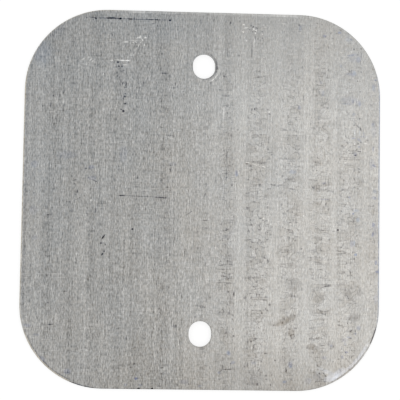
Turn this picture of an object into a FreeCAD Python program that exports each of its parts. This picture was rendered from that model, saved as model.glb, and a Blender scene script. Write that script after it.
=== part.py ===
import FreeCAD, Part
import enum
import math
import os
import Sketcher

# A flat cover plate: one piece of aluminium sheet, blanked to a rounded rectangle.
# Two short upright slots, one above the other, take the screws that hold it over its opening.
# Frame: it lies on its back. X runs across, Y up the plate and Z out of its front face.
# The origin is the middle of the back face. Lengths are in millimetres and angles in degrees.

SIZES = {
    "plate_width": (101.6, "across, along X"),
    "plate_height": (107.4, "up the plate, along Y"),
    "sheet_thickness": (1.6, "back face to front face"),
    "corner_radius": (23.5, "of the four corners"),
    "slot_spacing": (76.2, "between the centres of the two slots"),
    "slot_width": (6.4, "across a slot, which is twice the radius of its ends"),
    "slot_straight": (0.8, "the straight sides between those ends, along Y"),
    "front_edge_radius": (0.25, "to which blanking draws the front edges down"),
    "back_edge_chamfer": (0.12, "that takes the burr off the outline at the back"),
    "deburr_width": (0.7, "widest part of the bevel beside the upper slot"),
    "deburr_slope": (40.0, "of that bevel, from the front face"),
    "deburr_shift": (0.35, "how far to the right of the slot's middle that bevel was turned"),
    "deburr_drop": (0.1, "how far below the slot's middle it was turned"),
    "worn_reach": (1.25, "widest part of the worn flat at the lower right corner"),
    "worn_slope": (9.0, "of that flat, from the front face"),
    "worn_bearing": (46.0, "from +X down to the flat's middle, about the corner's centre"),
}
PLATE_LABEL = "cover_plate"
CUT_MARGIN = 1.0  # how far a cut's profile runs on past the material
SAME = 1e-6  # lengths closer than this count as equal
VOLUME_ERROR = 1e-3  # the share by which a cut's volume may differ from its formula
ORIGIN = (-1, 1)  # a sketch's own origin, as the line and the point that a constraint names


class Point(enum.IntEnum):
    """How a constraint counts the points of a line or an arc."""

    START = enum.auto()
    END = enum.auto()
    CENTRE = enum.auto()


def make_sizes(doc):
    """The spreadsheet that drives the model: name, value and meaning, one row for each size."""
    sheet = doc.addObject("Spreadsheet::Sheet", "sizes")
    for row, (name, (value, meaning)) in enumerate(SIZES.items(), start=1):
        sheet.set(f"A{row}", name)
        sheet.set(f"B{row}", str(value))
        sheet.set(f"C{row}", meaning)
        sheet.setAlias(f"B{row}", name)
    doc.recompute()
    return sheet


def origin_plane(body, role):
    """One of the body's own three planes, found by its role, such as XY_Plane."""
    return next(feature for feature in body.Origin.OriginFeatures if feature.Role == role)


def add_sketch(body, name, role):
    """An empty sketch that lies on one of the body's own planes."""
    sketch = body.newObject("Sketcher::SketchObject", name)
    sketch.AttachmentSupport = [(origin_plane(body, role), "")]
    sketch.MapMode = "FlatFace"
    return sketch


def add_line(sketch, start, end):
    return sketch.addGeometry(Part.LineSegment(FreeCAD.Vector(*start), FreeCAD.Vector(*end)))


def add_arc(sketch, centre, radius, first, last):
    """An arc that turns anticlockwise from first to last, both in degrees."""
    circle = Part.Circle(FreeCAD.Vector(*centre), FreeCAD.Vector(0, 0, 1), radius)
    return sketch.addGeometry(Part.ArcOfCircle(circle, math.radians(first), math.radians(last)))


def constrain(sketch, *terms):
    return sketch.addConstraint(Sketcher.Constraint(*terms))


def bind(sketch, name, formula, *terms):
    """A named dimension of the sketch, whose value is a formula over the sizes."""
    sketch.renameConstraint(constrain(sketch, *terms), name)
    sketch.setExpression(f"Constraints.{name}", formula)


def close_ring(sketch, joint, pieces):
    """Joins the end of each piece to the start of the next, all the way round."""
    for this, following in zip(pieces, pieces[1:] + pieces[:1]):
        constrain(sketch, joint, this, Point.END, following, Point.START)


def draw_triangle(sketch, corners):
    """A closed triangle, whose lines run from each corner to the next."""
    lines = [add_line(sketch, *ends) for ends in zip(corners, corners[1:] + corners[:1])]
    close_ring(sketch, "Coincident", lines)
    return lines


def draw_outline(body, size):
    """The blank's outline: four straight sides that run tangent into four equal corner arcs."""
    sketch = add_sketch(body, "outline", "XY_Plane")
    half_width, half_height = size("plate_width") / 2, size("plate_height") / 2
    radius = size("corner_radius")
    inner_x, inner_y = half_width - radius, half_height - radius
    right = add_line(sketch, (half_width, -inner_y), (half_width, inner_y))
    upper_right = add_arc(sketch, (inner_x, inner_y), radius, 0, 90)
    top = add_line(sketch, (inner_x, half_height), (-inner_x, half_height))
    upper_left = add_arc(sketch, (-inner_x, inner_y), radius, 90, 180)
    left = add_line(sketch, (-half_width, inner_y), (-half_width, -inner_y))
    lower_left = add_arc(sketch, (-inner_x, -inner_y), radius, 180, 270)
    bottom = add_line(sketch, (-inner_x, -half_height), (inner_x, -half_height))
    lower_right = add_arc(sketch, (inner_x, -inner_y), radius, 270, 360)
    close_ring(
        sketch, "Tangent",
        [right, upper_right, top, upper_left, left, lower_left, bottom, lower_right],
    )
    for side in (right, left):
        constrain(sketch, "Vertical", side)
    for side in (top, bottom):
        constrain(sketch, "Horizontal", side)
    for corner in (upper_left, lower_left, lower_right):
        constrain(sketch, "Equal", upper_right, corner)
    constrain(sketch, "Symmetric", upper_right, Point.CENTRE, lower_left, Point.CENTRE, *ORIGIN)
    bind(
        sketch, "width", "sizes.plate_width",
        "DistanceX", left, Point.START, right, Point.START, size("plate_width"),
    )
    bind(
        sketch, "height", "sizes.plate_height",
        "DistanceY", bottom, Point.START, top, Point.START, size("plate_height"),
    )
    bind(sketch, "radius", "sizes.corner_radius", "Radius", upper_right, radius)
    return sketch


def draw_slot(body, size):
    """The upper slot: two half circles, centred on the Y axis, joined by two short straight sides."""
    sketch = add_sketch(body, "upper_slot", "XY_Plane")
    radius = size("slot_width") / 2
    straight = size("slot_straight")
    low = (size("slot_spacing") - straight) / 2
    high = low + straight
    top_end = add_arc(sketch, (0, high), radius, 0, 180)
    left = add_line(sketch, (-radius, high), (-radius, low))
    bottom_end = add_arc(sketch, (0, low), radius, 180, 360)
    right = add_line(sketch, (radius, low), (radius, high))
    close_ring(sketch, "Tangent", [top_end, left, bottom_end, right])
    for end in (top_end, bottom_end):
        constrain(sketch, "Vertical", *ORIGIN, end, Point.CENTRE)
    constrain(sketch, "Equal", top_end, bottom_end)
    bind(sketch, "radius", "sizes.slot_width / 2", "Radius", top_end, radius)
    bind(
        sketch, "straight", "sizes.slot_straight",
        "DistanceY", bottom_end, Point.CENTRE, top_end, Point.CENTRE, straight,
    )
    bind(
        sketch, "place", "(sizes.slot_spacing - sizes.slot_straight) / 2",
        "DistanceY", *ORIGIN, bottom_end, Point.CENTRE, low,
    )
    return sketch


def draw_deburr(body, size):
    """Half the section of the countersink: a triangle on an upright line through its own centre."""
    sketch = add_sketch(body, "deburr_cone", "XZ_Plane")
    sketch.setExpression(".AttachmentOffset.Base.x", "sizes.deburr_shift")
    sketch.setExpression(".AttachmentOffset.Base.z", "sizes.deburr_drop - sizes.slot_spacing / 2")
    front = size("sheet_thickness")
    radius = size("slot_width") / 2 + size("deburr_width") - size("deburr_shift")
    slope = math.tan(math.radians(size("deburr_slope")))
    tip = (0, front - radius * slope)
    rim = (radius + CUT_MARGIN, front + CUT_MARGIN * slope)
    flank, lid, spine = draw_triangle(sketch, [tip, rim, (0, rim[1])])
    constrain(sketch, "Horizontal", lid)
    for end in (Point.START, Point.END):
        constrain(sketch, "Vertical", *ORIGIN, spine, end)
    radius_formula = "(sizes.slot_width / 2 + sizes.deburr_width - sizes.deburr_shift)"
    bind(
        sketch, "tip_height", f"sizes.sheet_thickness - {radius_formula} * tan(sizes.deburr_slope)",
        "DistanceY", *ORIGIN, flank, Point.START, tip[1],
    )
    bind(
        sketch, "rim_height", f"sizes.sheet_thickness + {CUT_MARGIN} * tan(sizes.deburr_slope)",
        "DistanceY", *ORIGIN, flank, Point.END, rim[1],
    )
    bind(
        sketch, "rim_radius", f"{radius_formula} + {CUT_MARGIN}",
        "DistanceX", *ORIGIN, flank, Point.END, rim[0],
    )
    return sketch


def draw_worn_corner(body, size):
    """Section of what is worn away, on an upright plane from the corner's centre out through it."""
    sketch = add_sketch(body, "worn_corner", "XZ_Plane")
    turn = FreeCAD.Rotation(FreeCAD.Vector(0, -1, 0), size("worn_bearing"))
    sketch.AttachmentOffset = FreeCAD.Placement(FreeCAD.Vector(), turn)
    sketch.setExpression(".AttachmentOffset.Base.x", "sizes.plate_width / 2 - sizes.corner_radius")
    sketch.setExpression(".AttachmentOffset.Base.z", "sizes.plate_height / 2 - sizes.corner_radius")
    sketch.setExpression(".AttachmentOffset.Rotation.Angle", "sizes.worn_bearing")
    front, radius, reach = size("sheet_thickness"), size("corner_radius"), size("worn_reach")
    slope = math.tan(math.radians(size("worn_slope")))
    inner = (radius - reach - CUT_MARGIN, front + CUT_MARGIN * slope)
    outer = (radius + CUT_MARGIN, front - (reach + CUT_MARGIN) * slope)
    flat, wall, lid = draw_triangle(sketch, [inner, outer, (outer[0], inner[1])])
    constrain(sketch, "Vertical", wall)
    constrain(sketch, "Horizontal", lid)
    bind(
        sketch, "inner_reach", f"sizes.corner_radius - sizes.worn_reach - {CUT_MARGIN}",
        "DistanceX", *ORIGIN, flat, Point.START, inner[0],
    )
    bind(
        sketch, "inner_height", f"sizes.sheet_thickness + {CUT_MARGIN} * tan(sizes.worn_slope)",
        "DistanceY", *ORIGIN, flat, Point.START, inner[1],
    )
    bind(
        sketch, "outer_reach", f"sizes.corner_radius + {CUT_MARGIN}",
        "DistanceX", *ORIGIN, flat, Point.END, outer[0],
    )
    bind(
        sketch, "outer_height",
        f"sizes.sheet_thickness - (sizes.worn_reach + {CUT_MARGIN}) * tan(sizes.worn_slope)",
        "DistanceY", *ORIGIN, flat, Point.END, outer[1],
    )
    return sketch


def edges_at(shape, height):
    """The edges that lie at one height, each under its name."""
    named = {f"Edge{number}": edge for number, edge in enumerate(shape.Edges, start=1)}
    return {
        name: edge
        for name, edge in named.items()
        if max(abs(edge.BoundBox.ZMin - height), abs(edge.BoundBox.ZMax - height)) < SAME
    }


def on_outline(edge, size):
    """Each side and corner arc of the outline reaches the plate's full half width or half height."""
    box = edge.BoundBox
    across = max(box.XMax, -box.XMin) - size("plate_width") / 2
    upward = max(box.YMax, -box.YMin) - size("plate_height") / 2
    return max(across, upward) > -SAME


def add_blank(body, size):
    """The flat blank, from the back face at Z = 0 up to the front face."""
    blank = body.newObject("PartDesign::Pad", "blank")
    blank.Profile = draw_outline(body, size)
    blank.setExpression("Length", "sizes.sheet_thickness")
    return blank


def add_slots(body, size):
    """The upper slot is cut right through, and the lower one is its mirror image about the XZ plane."""
    upper = body.newObject("PartDesign::Pocket", "upper_slot_cut")
    upper.Profile = draw_slot(body, size)
    upper.Type = "ThroughAll"
    upper.Reversed = True
    slots = body.newObject("PartDesign::Mirrored", "slots")
    slots.Originals = [upper]
    slots.MirrorPlane = (origin_plane(body, "XZ_Plane"), [""])
    return slots


def add_front_edge(body, size):
    """Blanking rounds every front edge a little, on the outline and on both slots."""
    base = body.Tip
    rounded = body.newObject("PartDesign::Fillet", "front_edge")
    rounded.Base = (base, list(edges_at(base.Shape, size("sheet_thickness"))))
    rounded.setExpression("Radius", "sizes.front_edge_radius")
    return rounded


def add_back_edge(body, size):
    """The outline has its burr taken off at the back. The slots stay sharp there."""
    base = body.Tip
    names = [name for name, edge in edges_at(base.Shape, 0.0).items() if on_outline(edge, size)]
    broken = body.newObject("PartDesign::Chamfer", "back_edge")
    broken.Base = (base, names)
    broken.setExpression("Size", "sizes.back_edge_chamfer")
    return broken


def add_deburr(body, size):
    """A countersink turned off centre in the upper slot, which leaves a crescent on its right side."""
    section = draw_deburr(body, size)
    deburr = body.newObject("PartDesign::Groove", "upper_slot_deburr")
    deburr.Profile = section
    deburr.ReferenceAxis = (section, ["V_Axis"])
    deburr.Angle = 360
    return deburr


def add_worn_corner(body, size):
    """A shallow flat, worn straight across the front edge of the lower right corner."""
    worn = body.newObject("PartDesign::Pocket", "worn_corner_cut")
    worn.Profile = draw_worn_corner(body, size)
    worn.SideType = "Symmetric"
    worn.setExpression("Length", "2 * sizes.corner_radius")
    return worn


def take_away(doc, body, size, add_cut):
    """Adds a cut as the body's newest feature, and returns the volume that it removed."""
    before = body.Shape.Volume
    body.Tip = add_cut(body, size)
    doc.recompute()
    removed = before - body.Shape.Volume
    if removed <= 0:
        raise RuntimeError(f"{body.Tip.Name} took nothing away")
    return removed


def check_slots(removed, size):
    """Both slots have to go right through, so what they removed is known from their sizes."""
    width = size("slot_width")
    area = math.pi * (width / 2) ** 2 + width * size("slot_straight")
    wanted = 2 * area * size("sheet_thickness")
    if abs(removed - wanted) > VOLUME_ERROR * wanted:
        raise RuntimeError(f"the slots removed {removed:.3f} mm3, not {wanted:.3f}")


def build_plate(doc, size):
    """The whole plate, in the order in which it was made and then worn."""
    body = doc.addObject("PartDesign::Body", PLATE_LABEL)
    body.Label = PLATE_LABEL
    body.Placement = FreeCAD.Placement()
    body.Tip = add_blank(body, size)
    doc.recompute()
    check_slots(take_away(doc, body, size, add_slots), size)
    for add_cut in (add_front_edge, add_back_edge, add_deburr, add_worn_corner):
        take_away(doc, body, size, add_cut)
    return body


def check_document(doc):
    """Stops if any object failed to compute, because a recompute says nothing about it."""
    for item in doc.Objects:
        if {"Invalid", "Error"} & set(item.State):
            raise RuntimeError(f"{item.Name} is {item.State}")


def check_piece(piece):
    """Stops unless a sub-part's shape is one sound solid."""
    shape = piece.Shape
    if shape.isNull() or not shape.isValid() or len(shape.Solids) != 1:
        raise RuntimeError(f"{piece.Label} is not one valid solid")


def export_piece(piece):
    """Writes one sub-part to the file that its label names, and prints its size."""
    piece.Shape.exportStep(f"parts/{piece.Label}.step")
    box = piece.Shape.optimalBoundingBox(False)
    across = f"{box.XLength:.2f} x {box.YLength:.2f} x {box.ZLength:.2f} mm"
    print(f"{piece.Label}: {across}, {piece.Shape.Volume:.1f} mm3")


def main():
    doc = FreeCAD.newDocument("cover_plate_model")
    plate = build_plate(doc, make_sizes(doc).get)
    check_document(doc)
    check_piece(plate)
    os.makedirs("parts", exist_ok=True)
    export_piece(plate)


main()
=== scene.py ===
import bpy
import math
from mathutils import Matrix, Vector


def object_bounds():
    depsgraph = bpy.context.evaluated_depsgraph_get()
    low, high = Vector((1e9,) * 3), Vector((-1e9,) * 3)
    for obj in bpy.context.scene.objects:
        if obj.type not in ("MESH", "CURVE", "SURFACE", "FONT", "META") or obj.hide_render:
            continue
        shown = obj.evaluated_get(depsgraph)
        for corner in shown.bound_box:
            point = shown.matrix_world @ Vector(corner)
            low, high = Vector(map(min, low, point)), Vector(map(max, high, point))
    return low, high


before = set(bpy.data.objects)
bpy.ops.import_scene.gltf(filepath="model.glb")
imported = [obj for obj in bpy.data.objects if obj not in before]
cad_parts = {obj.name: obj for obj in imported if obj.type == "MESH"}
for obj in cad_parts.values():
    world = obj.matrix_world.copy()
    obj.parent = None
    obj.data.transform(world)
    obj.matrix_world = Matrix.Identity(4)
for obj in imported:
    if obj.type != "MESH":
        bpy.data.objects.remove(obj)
cad_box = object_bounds()

# The look of the cover plate: bare aluminium sheet with a rolled grain, stains, scratches and worn edges.
# The plate lies on its back on a pale floor, and the camera looks down on it.
# Places on the plate are in millimetres from its middle: x across and y up the plate.
# A tone is a share of the metal's own brightness that is added to it, as red, green and blue.
# A noise has four values: features to the millimetre along x and y, detail, roughness and seed.
# A soft step has where it starts and ends and, where it isn't from 0 to 1, its values before and after.

MILLIMETRE = 0.001
WHITE = (1.0, 1.0, 1.0, 1.0)

CAMERA_PLACE = (-20.27, -27.34, 367.95)
CAMERA_AIM = (-0.58, -0.26, 1.35)
CAMERA_ROLL = 0.897  # degrees by which the picture's upright leans to the plate's left
CAMERA_LENS = 116.76

# Each lamp: name, place, width and height in metres, watts.
LAMPS = (
    ("right_softbox", (0.37, -0.18, 0.95), 0.60, 0.85, 0.85),
    ("upper_left_softbox", (-0.70, 0.75, 0.90), 0.80, 0.80, 0.5),
)
WORLD_LEVEL = 0.73
FLOOR_HALF_WIDTH = 3.0
FLOOR_GAP = 0.00002  # keeps the floor off the plate's back face
FLOOR_GLOW = 0.80
FLOOR_COLOUR = (0.30, 0.30, 0.30, 1.0)

ALUMINIUM = (0.43, 0.425, 0.41)
ROUGHNESS = 0.30
ANISOTROPY = 0.4
GRAIN_DEPTH = 0.02  # millimetres of height for a tone of 1

# Soft steps in how far a face looks up, which tell the front from the walls.
FRONT_FACING = (0.2, 0.7)
WALL_FACING = (0.7, 0.2)

NOISE_MIDDLE = 0.5  # what a noise texture varies about
WANDER = (0.9, 3.0, 0.6)  # features to the millimetre, detail and roughness of what makes marks ragged
RAGGED = (0.1, 0.4, 0.7)  # millimetres by which it moves them
ARCH_FADE = 0.4
MOST_MARKS = 80  # in one node group, which is slow to build with more

GREY = (-1.0, -1.0, -0.95)
BROWN = (-0.88, -1.0, -1.12)
BLUE = (-1.25, -1.05, -0.3)
PALE = (1.0, 1.0, 1.0)
TAN = (0.9, 0.65, 0.25)
STEEL = (-0.75, -0.55, -0.1)
COLD = (-0.5, 0.0, 0.6)
# A pale blue tone for the worn corner: rubbed metal and a painted highlight of the flat's reflection.
PALE_WEAR_AND_HIGHLIGHT = (0.8, 0.95, 1.3)
SKY = (-0.6, 0.1, 1.0)

# What each tone in full would add to the roughness.
ROUGHER = ((GREY, 0.25), (BROWN, 0.5), (BLUE, 0.3), (PALE, -0.08))

# The metal turns colder by this much to the millimetre, and by these noises in these strengths.
COLD_SLOPE = (-0.0006, 0.0006, 0.0)
COLD_NOISES = ((((1.4, 0.9), 2.0, 0.5, 83.0), 0.16), (((0.08, 0.05), 2.0, 0.5, 89.0), 0.12))

# The grain, finest first: features to the millimetre along x and y, strength and seed.
GRAIN = (
    ((3.4, 1.1), 1.60, 7.0),
    ((2.6, 0.30), 0.70, 14.0),
    ((1.7, 0.035), 0.58, 21.0),
    ((0.3, 0.012), 0.25, 28.0),
)
# Straight hairlines, and the threads across them: the features and seed of the lines, those of the patches in
# which they show, and a strength.
HAIRLINES = (
    ((2.4, 0.02), 49.0, (0.9, 0.42), 77.0, 9.5),
    ((0.02, 2.4), 56.0, (0.4, 0.8), 88.0, 6.0),
)
# The right half is brighter: where that starts and ends across the plate, by how much, and how much of the
# grain is left there.
BRIGHT_START = -14.0
BRIGHT_END = 16.0
BRIGHTER = 0.25
BRIGHT_GRAIN = 0.62

# The upright columns of stains: x, half width, strength in percent.
STAIN_COLUMNS = (
    (6.8, 3.3, 95), (15.8, 4.6, 100), (25.2, 4.6, 90), (33.8, 4.4, 95), (42, 4.4, 85), (48.9, 2.2, 55),
    (0.5, 4, 45), (-10.5, 3.6, 45),
)
COLUMN_MIDDLE = -8.0
COLUMN_HALF_LENGTH = 75.0
COLUMN_FADE = 0.6

# Two noises are drawn as the outlines of dried drops, one inside another: upright flakes and round drops.
# Each has the spacing of its outlines, in the noise's own height, and a soft step from an outline's middle to
# its side. The outlines are broken into dots, and a brown film lies inside the drops.
FLAKES = ((0.13, 0.5), 1.0, 0.5, 31.0)
FLAKE_STEPS = (0.8, 0.01, 1.0)  # millimetres between the flakes' straight sides
FLAKE_SPACING = 0.10
FLAKE_LINE = (0.0, 0.022, 0.38, 0.0)
DROPS = ((0.2, 0.26), 0.0, 0.5, 57.0)
DROP_START = 0.08
DROP_SPACING = 0.07
DROP_RIM = (0.0, 0.012, 0.58, 0.0)
DOTS = ((1.9, 1.1), 1.0, 0.5, 43.0)
DOT_STEP = (-0.14, 0.14, 0.35, 1.0)
FILM = (0.05, 0.07, 0.0, 0.08)

# The upper right corner's round, and how the stripes along the outline run.
CORNER_RADIUS = 23.5
CORNER_CENTRE = [half / MILLIMETRE - CORNER_RADIUS for half in cad_box[1][:2]] + [0.0]
OUTLINE_NOISE = ((1.2, 1.2), 2.0, 0.5, 71.0)
OUTLINE_RAGGED = 0.4
STRIPE_FADE = 0.4
STRIPE_SOFTNESS = 0.12

# The worn flat at the lower right corner: the degrees from x to its middle, about the corner's centre, its
# widest part, and its look, which is paler both as rubbed metal and as a painted highlight of the flat's
# reflection.
WORN_BEARING = -46.0
WORN_REACH = 1.25
WORN_SOFTNESS = 0.2
WORN_AND_HIGHLIGHT_TONE = 0.02
SCUFFS = ((0.5, 4.0), 3.0, 0.6, 97.0)
SCUFF_STRENGTH = 0.8

# The walls: where their burnished band starts above the back, and both bands' tones and roughness.
BURNISH_START = (0.75, 0.95)
BURNISH_NOISE = ((0.8, 0.8), 3.0, 0.6, 101.0)
BURNISH_RAGGED = 0.9
BURNISHED_TONE = -0.10
TORN_TONE = -0.50
TORN_ROUGHNESS = 0.55
BURNISHED_ROUGHNESS = 0.30
WALL_NOISE = (3.0, 0.6)  # detail and roughness of its lines and pits
WALL_LINES = (5.0, 5.0, 0.4)
WALL_LINE_STRENGTH = 0.9
WALL_PITS = 5.0

BACK_CLOUDS = ((0.05, 0.03), 4.0, 0.6, 109.0)
BACK_CLOUD_STRENGTH = 0.5
BACK_SCRATCH_FADE = 0.7
BAND_FADE = 1.0
SLOT_UP = 38.1  # from the plate's middle to each slot's

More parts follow.
